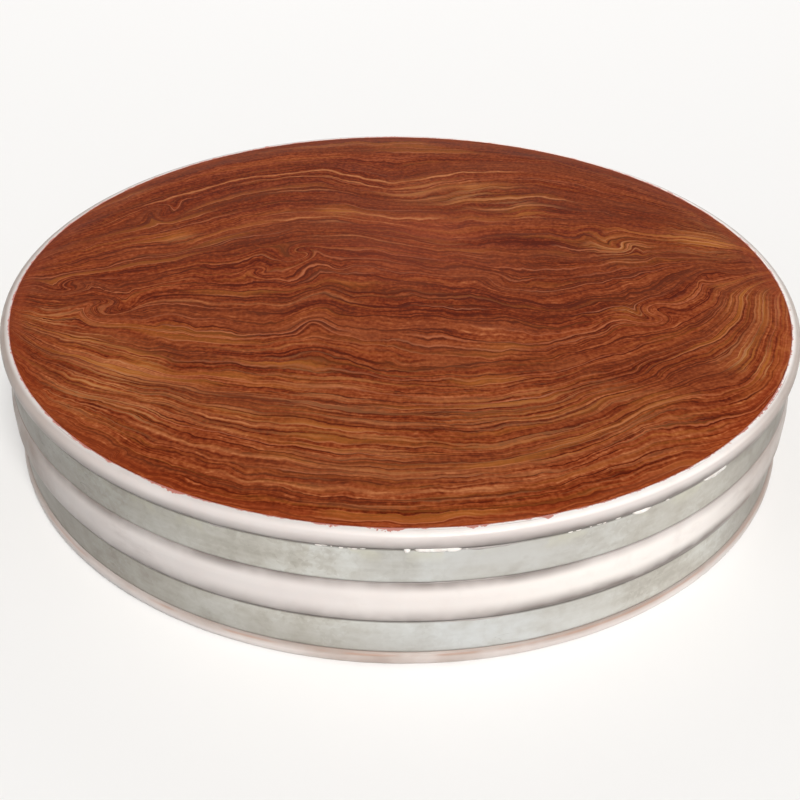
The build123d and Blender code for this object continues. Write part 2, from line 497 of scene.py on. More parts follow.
def wood_tone(grain, rim, thick, thin, slim):
    """The whole tone, from 0 to 1, and the sum of the golden single veins."""
    # The back of the top is plainer than the front
    plain = grain.y.ramp(-0.1, 0.45)
    tone = add_layers(band_tone(grain, plain), plain, thick, thin, slim)
    tone, vein_gold = add_veins(grain, tone + grain.glow * 0.03)
    # Beside the collar fine rings run with the rim
    ring = stretched_noise(grain.x, grain.y, grain.from_axis, 2, 95, 3, 0.7)
    tone = tone + (ring - 0.5) * rim * 0.9 + (grain.swirl - 0.5) * grain.ends * 0.9
    return (tone - 0.5) * grain.y.ramp(-0.85, -0.35, 1.15, 1.1) + 0.5, vein_gold


# %% The wood's gold, and its pale lines
golden = (171, 104, 46)
pale_gold = (190, 130, 84)
pale = (192, 118, 82)


def gold_and_pale(grain, vein_gold, thin, slim):
    """Coats of gold in whole layers, strands and single veins, and of pale lines in layers."""
    glowing = grain.glow.math("MAXIMUM", 0)
    bright_fade = grain.bands(2.5, 9, 1, 0.5, 47).ramp(0.5, 0.66)
    gold_layer = thin.chance[2].ramp(0.66, 0.7) * thin.part.ramp(0, 0.04) * thin.part.ramp(0.9, 0.94, 1, 0)
    gold_layer = gold_layer * bright_fade * (glowing * 0.6 + 0.32)
    strand = grain.bands(2.2, 58, 2, 0.7, 71)
    hue = grain.bands(1.2, 7, 3, 0.7, 83)
    streak = grain.bands(1.6, 30, 3, 0.7, 17)
    gold_strand = glowing * streak.ramp(0.38, 0.62) * strand.ramp(0.49, 0.53) * 0.7
    gold_strand = gold_strand + grain.swirl.ramp(0.52, 0.68) * grain.ends * 0.45
    gold_strand = gold_strand + strand.ramp(0.52, 0.64) * hue.ramp(0.58, 0.44) * 0.2
    bright_strand = grain.bands(3, 75, 2, 0.6, 91).ramp(0.53, 0.59) * glowing * 0.8
    thin_pale = thin.part.ramp(0, 0.05) * thin.part.ramp(0.05, 0.22, 1, 0)
    thin_pale = thin_pale * thin.chance[2].ramp(0.4, 0.8) * bright_fade
    slim_pale = slim.part.ramp(0, 0.1) * slim.part.ramp(0.1, 0.4, 1, 0)
    slim_pale = slim_pale * slim.chance[2].ramp(0.5, 0.9) * slim.fade
    return [
        (hue.ramp(0.42, 0.66) * 0.28, (130, 72, 42)),
        (gold_layer.math("MINIMUM", 0.7), golden),
        (gold_strand.math("MINIMUM", 0.85), golden),
        (bright_strand.math("MINIMUM", 0.75), pale_gold),
        ((vein_gold * 0.85).math("MINIMUM", 0.6), pale_gold),
        (thin_pale * 0.6, pale),
        (slim_pale * 0.5, pale),
    ]


# %% The wood's material
tone_colours = [
    (0, (80, 25, 9)), (0.25, (106, 39, 15)), (0.5, (132, 58, 27)), (0.75, (152, 77, 42)),
    (1, (182, 108, 66)),
]


def make_wood():
    material, tree, shader = new_material("folded_wood")
    grain = Grain(tree)
    bands = grain.bands
    thick = Layers(grain, 11, 2.6, 0.08, 5, bands(1.8, 8, 1, 0.5, 31).ramp(0.36, 0.5), 0.5)
    thin = Layers(grain, 31, 2.8, 0.15, 9, bands(2.4, 14, 1, 0.5, 37).ramp(0.38, 0.54), 0.5)
    slim = Layers(grain, 54, 3, 0.3, 13, bands(3.4, 24, 1, 0.5, 41).ramp(0.4, 0.58), 0.6)
    rim = grain.from_axis.ramp(0.955, 0.985)
    tone, vein_gold = wood_tone(grain, rim, thick, thin, slim)
    # A painted sheen: the middle of the top is painted pinker and lighter where a soft highlight lies
    painted_sheen = bell(grain.flat, (0.03, 0.2, 0), 0.22) * grain.broad.ramp(0.3, 0.6, 0.1, 0.35)
    base = paint(colour_ramp(tone, tone_colours), [
        *gold_and_pale(grain, vein_gold, thin, slim),
        (painted_sheen, (158, 78, 54)),
        (rim * 0.35, (140, 57, 27)),
    ])
    sheen = bands(3, 40, 2, 0.5, 53).ramp(0.2, 0.8, 0.42, 0.55)
    fill(shader, {"Base Color": base, "Roughness": sheen, "Specular IOR Level": 0.05, "IOR": 1.25})
    relief = grain.fine * 0.5 + grain.fibre * 0.3 + grain.fleck * 0.5 - thick.line * thick.fade * 0.2
    add_bump(shader, relief, 0.15 * mm, 0.5)
    return material


wood = make_wood()
print("wood nodes:", len(wood.node_tree.nodes))

# %% [markdown]
# ## Turned shapes
#
# The core, the collar, the hoops and the rivets are all sections carried round an axis. The
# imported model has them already, but with flat facets and perfect edges. Here each section is
# drawn as a row of points, and one Geometry Nodes tree carries it round in small steps. The tree
# can also make a surface slightly uneven, let an edge droop in places, and lift the end of a
# strip over its start, which is what a hoop's lap needs.

# %% Helpers for Geometry Nodes trees
merge_distance = 0.01 * mm


def geometry_tree(name, sizes, counts, objects=()):
    """An empty Geometry Nodes tree with named inputs for its sizes, counts, objects and material."""
    tree = bpy.data.node_groups.new(name, "GeometryNodeTree")
    kinds = {"Geometry": ["Geometry"], "Float": sizes, "Int": counts, "Object": objects}
    kinds["Material"] = ["Material"]
    for kind, socket_names in kinds.items():
        for socket_name in socket_names:
            tree.interface.new_socket(socket_name, in_out="INPUT", socket_type="NodeSocket" + kind)
    tree.interface.new_socket("Geometry", in_out="OUTPUT", socket_type="NodeSocketGeometry")
    return tree, tree.nodes.new("NodeGroupInput").outputs


def own_place(tree):
    """The three numbers of each point's own place."""
    return separate(add(tree, "GeometryNodeInputPosition").outputs[0])


def finish_tree(geometry, material):
    """Merges the seam and the poles, and ends the tree."""
    tree = geometry.id_data
    merged = add(tree, "GeometryNodeMergeByDistance", {"Geometry": geometry, "Distance": merge_distance})
    smooth = add(tree, "GeometryNodeSetShadeSmooth", {"Geometry": merged.outputs[0]})
    real = add(tree, "GeometryNodeRealizeInstances", {"Geometry": smooth.outputs[0]})
    finished = add(tree, "GeometryNodeSetMaterial", {"Geometry": real.outputs[0], "Material": material})
    add(tree, "NodeGroupOutput", {"Geometry": finished.outputs[0]})
    return tree


# %% The tree that carries a section round an axis
def make_turned_tree():
    sizes = ["Start", "Sweep", "Rise", "Rise Start", "Rise End", "Uneven", "Droop", "Flash Angle", "Seed"]
    tree, given = geometry_tree("turned_section", sizes, ["Rows", "Steps"])
    rows = Wire(given["Rows"])
    steps = Wire(given["Steps"])
    grid_inputs = {"Size X": 1, "Size Y": 1, "Vertices X": steps + 1, "Vertices Y": rows}
    grid = add(tree, "GeometryNodeMeshGrid", grid_inputs)
    x, y, unused = own_place(tree)
    swept = (x + 0.5) * given["Sweep"]
    angle = swept + given["Start"]
    cosine = angle.math("COSINE")
    sine = angle.math("SINE")
    row = ((y + 0.5) * (rows - 1)).math("ROUND")

    def of_row(value, kind):
        """A value of the section's point in this row."""
        inputs = {"Geometry": given["Geometry"], "Value": value, "Index": row}
        return add(tree, "GeometryNodeSampleIndex", inputs, data_type=kind).outputs["Value"]

    section = of_row(add(tree, "GeometryNodeInputPosition").outputs[0], "FLOAT_VECTOR")
    droop_entry = add(tree, "GeometryNodeInputNamedAttribute", {"Name": "droop"}, data_type="FLOAT")
    droop_share = Wire(of_row(droop_entry.outputs["Attribute"], "FLOAT"))
    radius, unused, height = separate(section)

    def round_noise(round_scale, height_scale, detail, offset):
        """A noise that closes on itself after a full turn."""
        seeded = Wire(given["Seed"]) + offset
        point = combine(cosine * round_scale, sine * round_scale, height * height_scale + seeded)
        return noise(point, 1, detail) - 0.5

    lift_inputs = {"Value": swept, "From Min": given["Rise Start"], "From Max": given["Rise End"]}
    lift = add(tree, "ShaderNodeMapRange", lift_inputs, interpolation_type="SMOOTHSTEP")
    rise = Wire(lift.outputs["Result"]) * given["Rise"]
    uneven = (round_noise(5, 30, 3, 0) * given["Uneven"]).math("ABSOLUTE") * -1
    often = round_noise(9, 0, 2, 7).ramp(-0.02, 0.16)
    flash_turn = (angle.math("PINGPONG", math.tau) - given["Flash Angle"]).math("ABSOLUTE")
    flash = flash_turn.ramp(0.05, 0.13, 1, 0)
    ragged = often * 0.6 + flash * 0.8 + round_noise(70, 0, 2, 11) * 1.1
    droop = ragged.math("MAXIMUM", 0) * droop_share * given["Droop"] * -1
    new_radius = radius + rise + uneven * radius.ramp(0, 2 * mm)
    place = combine(new_radius * cosine, new_radius * sine, height + droop)
    moved = add(tree, "GeometryNodeSetPosition", {"Geometry": grid.outputs["Mesh"], "Position": place})
    return finish_tree(moved.outputs[0], given["Material"])


turned_tree = make_turned_tree()
print("turned tree nodes:", len(turned_tree.nodes))

# %% Run a tree and keep its result as a plain mesh
def grow(name, tree, base_mesh, values):
    """Runs a Geometry Nodes tree on a mesh, and returns the result as a new plain object."""
    carrier = bpy.data.objects.new(name + "_carrier", base_mesh)
    bpy.context.scene.collection.objects.link(carrier)
    modifier = carrier.modifiers.new("grow", "NODES")
    modifier.node_group = tree
    for item in tree.interface.items_tree:
        if item.in_out == "INPUT" and item.name in values:
            modifier[item.identifier] = values[item.name]
    evaluated = carrier.evaluated_get(bpy.context.evaluated_depsgraph_get())
    mesh = bpy.data.meshes.new_from_object(evaluated)
    mesh.name = name
    bpy.data.objects.remove(carrier)
    piece = bpy.data.objects.new(name, mesh)
    bpy.context.scene.collection.objects.link(piece)
    return piece


def face_outward(piece):
    """Recalculates the normals of a closed mesh, so that its faces point outward."""
    shape = bmesh.new()
    shape.from_mesh(piece.data)
    bmesh.ops.recalc_face_normals(shape, faces=shape.faces)
    if shape.calc_volume(signed=True) < 0:
        bmesh.ops.reverse_faces(shape, faces=shape.faces)
    open_edges = sum(1 for edge in shape.edges if len(edge.link_faces) != 2)
    shape.to_mesh(piece.data)
    volume = shape.calc_volume(signed=True) / mm ** 3
    print(f"{piece.name}: {len(shape.faces)} faces, {open_edges} open edges, {volume:.0f} cubic mm")
    shape.free()


def turned(name, points, material, steps, **values):
    """Carries a row of (radius, height) points round, and returns the new object.

    A row that doesn't start on the axis is closed. A point's third number, if it has one, is how
    far it takes part in the droop.
    """
    on_axis = abs(points[0][0]) < merge_distance
    rows = list(points) if on_axis else [*points, points[0]]
    mesh = bpy.data.meshes.new(name + "_section")
    mesh.from_pydata([(point[0], 0, point[1]) for point in rows], [], [])
    droop = mesh.attributes.new("droop", "FLOAT", "POINT")
    for entry, point in zip(droop.data, rows):
        entry.value = point[2] if len(point) > 2 else 0.0
    settings = {"Rows": len(rows), "Steps": steps, "Sweep": math.tau, "Rise End": 1.0, "Material": material}
    settings.update(values)
    return grow(name, turned_tree, mesh, settings)


# %% Rows of points for straight and round parts of a section
def straight(start, end, count):
    """Evenly spaced points from start up to, not including, end."""
    return [tuple(a + (b - a) * step / count for a, b in zip(start, end)) for step in range(count)]


def arc(centre, radius, first, last, count):
    """Points on an arc between two angles in degrees, without its last point."""
    points = []
    for step in range(count):
        angle = math.radians(first + (last - first) * step / count)
        points.append((centre[0] + radius * math.cos(angle), centre[1] + radius * math.sin(angle)))
    return points


# %% [markdown]
# ## The core
#
# The wooden disc is as high as the block. Its section runs from the middle of the top, over two
# tiny broken edges, to the middle of the underside. A plain cylinder would do as well, but its
# edges would be perfectly sharp, and no sanded edge is.

# %% The core
core_edge = 0.25 * mm
core_steps = 360
wood_section = [
    *straight((0.0, block_height), (core_radius - core_edge, block_height), 12),
    (core_radius - core_edge, block_height),
    (core_radius, block_height - core_edge),
    *straight((core_radius, block_height - 2 * core_edge), (core_radius, core_edge), 4),
    (core_radius, core_edge),
    *straight((core_radius - core_edge, 0.0), (0.0, 0.0), 12),
    (0.0, 0.0),
]
core = turned("block_wood", wood_section, wood, core_steps)
face_outward(core)
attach(core, "root")
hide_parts("wood_core")

# %% [markdown]
# ## The plastic collar
#
# The collar is cast in white plastic and turned and sanded flush with the wood. Its section has a
# rounded lip at each face, a groove for each hoop and a broad bulge between them. Plastic that
# has crept over a hoop's edge leaves a ragged rim there, so the points at that edge droop.

# %% The collar's sizes
upper_low, upper_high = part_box("upper_hoop")
lower_low, lower_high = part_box("lower_hoop")
hoop_radius = upper_high.x
hoop_side_gap = 0.25 * mm
groove_radius = hoop_radius - 0.8 * mm
hoop_thickness = 0.7 * mm
flash_thickness = 0.2 * mm
upper_round = 3 * mm
lower_round = 2.25 * mm
# How far down or up from its edge each shoulder runs: the lip's and then the bulge's
upper_drops = (4 * mm, 9 * mm)
lower_drops = (3 * mm, 5 * mm)
upper_lip = upper_high.z + hoop_side_gap
upper_bulge = upper_low.z - hoop_side_gap
lower_bulge = lower_high.z + hoop_side_gap
lower_lip = lower_low.z - hoop_side_gap
bulge_middle = (upper_bulge + lower_bulge) / 2
print(f"hoops at {lower_low.z:.4f} and {upper_low.z:.4f} m, bulge's middle at {bulge_middle:.4f} m")

# %% The collar's section
def shoulder(edge_height, up, drop, count):
    """From the block's full radius, round and inward to the hoop's surface at edge_height."""
    step_in = block_radius - hoop_radius
    radius = (step_in ** 2 + drop ** 2) / (2 * step_in)
    reach = math.degrees(math.asin(drop / radius))
    start = (block_radius - radius, edge_height - up * drop)
    return arc(start, radius, 0, up * reach, count)


def creeping(points, strength):
    """Gives points on the way to a hoop's edge a growing share in the plastic's creep over it."""
    last = len(points) - 1
    shares = [strength * (number / last) ** 3 for number in range(len(points))]
    return [(radius, height, share) for (radius, height), share in zip(points, shares)]


def collar_half(face, upward, edges, drops, rounding, creeps):
    """The outer half section from a face to the middle of the bulge.

    edges, drops and creeps each hold the lip's number and then the bulge's.
    """
    edge_of_lip, edge_of_bulge = edges
    lip_drop, bulge_drop = drops
    corner = (block_radius - rounding, face - upward * rounding)
    over_hoop = hoop_radius + flash_thickness
    behind_hoop = hoop_radius - hoop_thickness / 2
    lip_arc = [*shoulder(edge_of_lip, -upward, lip_drop, 8), (over_hoop, edge_of_lip)]
    bulge_arc = [*shoulder(edge_of_bulge, upward, bulge_drop, 12), (over_hoop, edge_of_bulge)]
    bulge_side = (block_radius, edge_of_bulge - upward * bulge_drop)
    return [
        *straight((core_radius, face), (block_radius - rounding, face), 6),
        *arc(corner, rounding, 90 * upward, 0, 9),
        *straight((block_radius, corner[1]), (block_radius, edge_of_lip + upward * lip_drop), 2),
        *creeping(lip_arc, creeps[0]),
        (behind_hoop, edge_of_lip),
        *straight((groove_radius, edge_of_lip), (groove_radius, edge_of_bulge), 4),
        (groove_radius, edge_of_bulge),
        (behind_hoop, edge_of_bulge),
        *reversed(creeping(bulge_arc, creeps[1])),
        *straight(bulge_side, (block_radius, bulge_middle), 3)[1:],
    ]


upper_edges = (upper_lip, upper_bulge)
lower_edges = (lower_lip, lower_bulge)
upper_half = collar_half(block_height, 1, upper_edges, upper_drops, upper_round, (1.0, -0.2))
lower_half = collar_half(0.0, -1, lower_edges, lower_drops, lower_round, (-0.2, 0.7))
inner_wall = straight((core_radius, 0.0), (core_radius, block_height), 6)[1:]
collar_section = [*upper_half, (block_radius, bulge_middle), *reversed(lower_half), *inner_wall]
print("collar section points:", len(collar_section))

# %% [markdown]
# ## The plastic's finish
#
# The plastic is white with a warm tinge and looks slightly waxy, because light enters it a little.
# It isn't clean, and its colour also holds painted shade. Painted shade lies beside the hoops, with
# some grime, on the lip at the base, which is also soiled, and at the left and right ends, where the
# light falls off. The bulge and the right of the sanded top are painted lighter and the upper lip
# darker. The sanded top has fine round scratches, and red wood dust clings where the plastic meets
# the wood. An image would have to be laid round the rim without a seam, so all of it is placed by
# height, by distance from the axis and from left to right instead, and each kind of mark is a list
# of coats. The drops are of the same plastic, but clean.

# %% Painted shade and grime beside the hoops
def round_place(tree):
    """The object coordinates: the point, its three numbers and its distance from the axis."""
    place = add(tree, "ShaderNodeTexCoord").outputs["Object"]
    x, y, z = separate(place)
    from_axis = Wire(vector_math("LENGTH", combine(x, y, 0)))
    return place, x, y, z, from_axis


def hoop_side_shade_and_grime(place, x, z, from_axis):
    """Coats of painted shade and some grime beside the hoops, of soil and painted shade on the lip at the
    base, and of rust.
    """
    patches = noise(place, 30, 3, 0.7).ramp(0.3, 0.65, 0.55, 1)
    side = from_axis.ramp(hoop_radius - 1 * mm, hoop_radius)
    # Painted shade on the two shoulders that turn down to a hoop and under the upper hoop, stronger at the
    # right
    shades = []
    for edge, reach in ((upper_lip, 7 * mm), (lower_bulge, 10.5 * mm)):
        shade = z.ramp(edge + 0.5 * mm, edge + reach, 0.95, 0) * x.ramp(0, 0.15, 0.8, 2)
        shades.append(shade * z.ramp(edge - 0.3 * mm, edge + 0.2 * mm))
    ledge = z.ramp(upper_bulge - 5 * mm, upper_bulge, 0, 0.9) * x.ramp(0.04, 0.1, 1, 0.4)
    shades.append(ledge * z.ramp(upper_bulge, upper_bulge + 1 * mm, 1, 0))
    # Painted shade in the crevices at the hoops' edges, with some grime, fainter at the left
    lines = [near(z, upper_bulge, 0.8 * mm) * 0.45, near(z, lower_lip, 1.5 * mm) * 0.75]
    for edge in (upper_lip, lower_bulge):
        line = z.ramp(edge + 0.5 * mm, edge + 1.8 * mm, 0.9, 0)
        lines.append(line * z.ramp(edge - 0.3 * mm, edge + 0.1 * mm))
    dark_line = gather("MAXIMUM", lines) * (patches * 0.5 + 0.5) * side * x.ramp(-0.14, -0.02, 0.45, 1)
    # The lip at the base: soil and painted shade, darkest at the front middle
    foot = z.ramp(lower_lip - 3.2 * mm, lower_lip - 1.2 * mm, 0.05, 1)
    foot = foot.math("MAXIMUM", near(x, 0.004, 0.095)) * (near(x, 0, 0.12) * 0.3 + 0.7)
    foot = foot * z.ramp(lower_lip, lower_bulge, 1, 0) * x.ramp(-0.16, -0.05, 0.65, 1)
    rust = near(z, lower_lip - 0.9 * mm, 0.7 * mm) * noise(place, 35, 2).ramp(0.42, 0.6)
    return [
        (gather("MAXIMUM", shades) * patches * side, (118, 108, 103)),
        (dark_line, (74, 67, 62)),
        (foot * patches * 0.9, (160, 142, 132)),
        (rust * 0.45, (158, 108, 78)),
    ]


# %% Painted shade at the ends, and wood dust
def end_shade_coat(x, z, from_axis, on_bulge, on_lip):
    """Painted shade at the left and right ends, where the light falls off."""
    end_shade = x.ramp(-0.18, -0.15, 0.6, 0) + x.ramp(-0.16, -0.1, 0.32, 0)
    end_shade = (end_shade + x.ramp(0.12, 0.178, 0, 0.72)) * z.ramp(lower_lip - 1 * mm, lower_lip, 0.5, 1)
    end_shade = end_shade.math("MAXIMUM", x.ramp(-0.18, -0.09, 0.75, 0) * on_lip)
    end_shade = end_shade * from_axis.ramp(block_radius - 4 * mm, block_radius - 2 * mm)
    return end_shade + on_bulge * x.ramp(-0.18, -0.14, 0.5, 0), (146, 130, 120)


def wood_dust(place, x, from_axis):
    """Coats of wood dust and smears beside the core, and of a thin ring on the sanded face."""
    ragged = noise(place, 110, 4, 0.75)
    smeared = near(x, 0.03, 0.012) + near(x, 0.074, 0.008) * 0.5 + near(x, -0.09, 0.012)
    smeared = smeared + near(x, -0.004, 0.014) * 1.2 + near(x, -0.024, 0.004) + near(x, 0.057, 0.004)
    smeared = smeared + near(x, -0.12, 0.012) * 0.8 + near(x, 0.155, 0.02) * 0.8
    dust_reach = (ragged.ramp(0.42, 0.7) + smeared * 0.12) * (smeared * 1.1 + 0.8) * mm
    dust = (from_axis - core_radius - dust_reach).ramp(-0.1 * mm, 0.5 * mm, 0.85, 0)
    speck = noise(place, 420, 1).ramp(0.7, 0.76)
    speck = speck * from_axis.ramp(core_radius, core_radius + 2.5 * mm, 0.5, 0)
    broken = noise(place, 16, 2).ramp(0.48, 0.58)
    ring = near(from_axis, core_radius + 1.2 * mm, 0.3 * mm) * broken
    return [(dust.math("MAXIMUM", speck), (178, 78, 50)), (ring * 0.6, (150, 128, 122))]


# %% The waxy plastic, soiled and with painted shade and light, and clean
waxy = {
    "Subsurface Weight": 0.15, "Subsurface Radius": (1.0, 0.7, 0.6), "Subsurface Scale": 1.5 * mm,
}


def make_plastic():
    material, tree, shader = new_material("waxy_plastic")
    place, x, y, z, from_axis = round_place(tree)
    cloud = noise(place, 14, 3, 0.6)
    mottle = noise(place, 90, 3, 0.6)
    smear = stretched_noise(x, y, z, 20, 60, 4, 0.65).ramp(0.56, 0.74)
    on_bulge = z.ramp(lower_bulge, lower_bulge + 4 * mm) * z.ramp(upper_bulge - 4 * mm, upper_bulge, 1, 0)
    on_face = z.ramp(block_height - 1.2 * mm, block_height - 0.3 * mm)
    on_lip = z.ramp(upper_lip - 1 * mm, upper_lip)
    base = paint(colour(220, 213, 210), [
        (cloud.ramp(0.38, 0.68), (209, 200, 197)),
        # Painted light: the bulge lighter, most towards the right
        (on_bulge * x.ramp(-0.06, 0.1, 0.15, 0.9), (238, 232, 227)),
        # Painted shade: the upper lip darker
        (on_lip * 0.35, (192, 184, 180)),
        # Painted light: the sanded top lighter towards the right
        (on_face * x.ramp(-0.1, 0.08, 0, 0.8), (248, 242, 238)),
        (mottle.ramp(0.5, 0.8) * 0.3, (206, 196, 190)),
        # Painted shade and some grime beside the hoops, and soil and painted shade on the lip at the base
        *hoop_side_shade_and_grime(place, x, z, from_axis),
        (smear * 0.22, (150, 138, 130)),
        # Painted shade at the left and right ends
        end_shade_coat(x, z, from_axis, on_bulge, on_lip),
        *wood_dust(place, x, from_axis),
    ])
    roughness = mottle.ramp(0.3, 0.7, 0.3, 0.48) + smear * 0.15
    fill(shader, {"Base Color": base, "Roughness": roughness, **waxy})
    sanding = stretched_noise(x, y, from_axis, 12, 2400, 2)
    sanded = near(z, block_height, 0.3 * mm).math("MAXIMUM", near(z, 0, 0.3 * mm))
    scraped = stretched_noise(x, y, z, 25, 900, 3)
    height = sanding * sanded * 0.5 + scraped * 0.25 + mottle * 0.5 + cloud * 0.8
    add_bump(shader, height, 0.25 * mm, 0.6)
    return material


def make_clean_plastic():
    material, tree, shader = new_material("clean_plastic")
    mottle = noise(round_place(tree)[0], 260, 3, 0.6)
    base = paint(colour(240, 235, 230), [(mottle.ramp(0.35, 0.7), (216, 208, 202))])
    fill(shader, {"Base Color": base, "Roughness": mottle.ramp(0.3, 0.7, 0.28, 0.45), **waxy})
    add_bump(shader, mottle, 0.2 * mm, 0.6)
    return material


white = make_plastic()
clean_white = make_clean_plastic()
print("plastic nodes:", len(white.node_tree.nodes), "and", len(clean_white.node_tree.nodes))

# %% The collar
collar_steps = 720
# The bearing, in degrees, round which most of the plastic has crept over the upper hoop
creep_bearing = 360 - 81
collar_values = {"Uneven": 0.5 * mm, "Droop": 1.4 * mm, "Seed": 3.0}
collar_values["Flash Angle"] = math.radians(creep_bearing)
collar = turned("block_collar", collar_section, white, collar_steps, **collar_values)
face_outward(collar)
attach(collar, "root")
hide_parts("edge_collar")

# %% [markdown]
# ## Crumbs of plastic along the lip
#
# Where the lip meets the upper hoop, small blobs of plastic have set on the steel. A tree puts a
# row of points round the rim, shakes them, drops many of them, and sets a flattened ball on each of
# the rest. A second tree sets the few large drops at the front, on listed points.

# %% The trees that place flattened balls of plastic
least_stretch = (0.35, 0.6, 0.35)
most_stretch = (0.60, 2.6, 0.80)


def set_balls(tree, given, points):
    """A flattened ball on each point, of a random size and turned outward, and the tree's end."""
    x, y, unused = own_place(tree)
    stretch_inputs = {"Seed": given["Seed"]}
    stretch = add(tree, "FunctionNodeRandomValue", stretch_inputs, data_type="FLOAT_VECTOR")
    fill(stretch, {"Min": least_stretch, "Max": most_stretch})
    ball = add(tree, "GeometryNodeMeshIcoSphere", {"Radius": 1, "Subdivisions": 2})
    facing_inputs = {"Vector": combine(x, y, 0)}
    facing = add(tree, "FunctionNodeAlignRotationToVector", facing_inputs, axis="X", pivot_axis="Z")
    size = vector_math("SCALE", stretch.outputs[0], given["Size"])
    copies = add(tree, "GeometryNodeInstanceOnPoints", {"Points": points, "Instance": ball.outputs[0]})
    fill(copies, {"Rotation": facing.outputs[0], "Scale": size})
    return finish_tree(copies.outputs[0], given["Material"])


def make_crumb_tree():
    sizes = ["Radius", "Height", "Size", "Kept"]
    tree, given = geometry_tree("plastic_crumbs", sizes, ["Count", "Seed"])
    count = Wire(given["Count"])
    line = add(tree, "GeometryNodeMeshLine", {"Count": count})
    index = Wire(add(tree, "GeometryNodeInputIndex").outputs[0])
    shake = add(tree, "FunctionNodeRandomValue", {"Seed": given["Seed"]}, data_type="FLOAT_VECTOR")
    turn, down, chance = separate(shake.outputs[0])
    angle = (index + turn) / count * math.tau
    cosine = angle.math("COSINE")
    sine = angle.math("SINE")
    radius = Wire(given["Radius"])
    height = Wire(given["Height"]) - down * given["Size"]
    place = combine(cosine * radius, sine * radius, height)
    placed = add(tree, "GeometryNodeSetPosition", {"Geometry": line.outputs[0], "Position": place})
    crowd = noise(combine(cosine * 6, sine * 6, 0), 1, 2)
    kept = crowd.ramp(0.4, 0.62) * cosine.ramp(-0.45, 0.05) * given["Kept"]
    rest_inputs = {"Geometry": placed.outputs[0], "Selection": chance - kept}
    rest = add(tree, "GeometryNodeDeleteGeometry", rest_inputs)
    return set_balls(tree, given, rest.outputs[0])


def make_drop_tree():
    tree, given = geometry_tree("plastic_drops", ["Size"], ["Seed"])
    return set_balls(tree, given, given["Geometry"])


# %% The crumbs and the large drops
def round_points(name, radius, places):
    """A mesh of points on a circle, from their bearings in degrees and their heights."""
    points = []
    for bearing, height in places:
        angle = math.radians(bearing)
        points.append((radius * math.cos(angle), radius * math.sin(angle), height))
    mesh = bpy.data.meshes.new(name)
    mesh.from_pydata(points, [], [])
    return mesh


crumb_radius = hoop_radius + 0.15 * mm
crumb_values = {"Count": 700, "Radius": crumb_radius, "Height": upper_lip + 0.1 * mm}
crumb_values.update({"Size": 0.6 * mm, "Kept": 0.5, "Seed": 5, "Material": clean_white})
crumbs = grow("lip_crumbs", make_crumb_tree(), bpy.data.meshes.new("nothing"), crumb_values)
drop_bearings = [-50.2, -49.6, -49.0, -48.4, -47.6, -61.0, -84.0, -85.5, -87.0, -89.0]
drop_points = round_points("drop_places", crumb_radius, [(bearing, upper_lip) for bearing in drop_bearings])
drop_values = {"Size": 2.1 * mm, "Seed": 2, "Material": clean_white}
drops = grow("lip_drops", make_drop_tree(), drop_points, drop_values)
for piece in (crumbs, drops):
    print(piece.name, len(piece.data.polygons), "faces")
    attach(piece, "root")

# %% [markdown]
# ## The metals' finish
#
# The hoops are galvanised sheet. Zinc sets in flat crystals, so the surface is a patchwork of
# slightly different greys, each crystal a few millimetres wide, under cloudy stains. A pale bluish
# painted reflection lies on the front, and the lower hoop's front is darker in a patch. Painted
# shade darkens the strip at the left and right ends and along its edges, most under the plastic
# above, with some grime at the right, and thin scratches run over it. Weathered zinc is dull, so
# the sheet is only half metallic. The rivets are aluminium: brighter, smoother, with small dings
# from the hammer.

# %% The galvanised sheet
zinc_greys = [(0, (158, 152, 141)), (0.45, (189, 186, 177)), (1, (216, 217, 212))]
# Each hoop edge's height and how strong the painted shade along it is, stronger at the top edges
hoop_edges = [(upper_high.z, 0.8), (upper_low.z, 0.35), (lower_high.z, 0.8), (lower_low.z, 0.35)]


def crystals(place, scale):
    """A random grey for each crystal of the zinc."""
    cells = add(place.id_data, "ShaderNodeTexVoronoi", {"Vector": place, "Scale": scale})
    return separate(cells.outputs["Color"])[0]


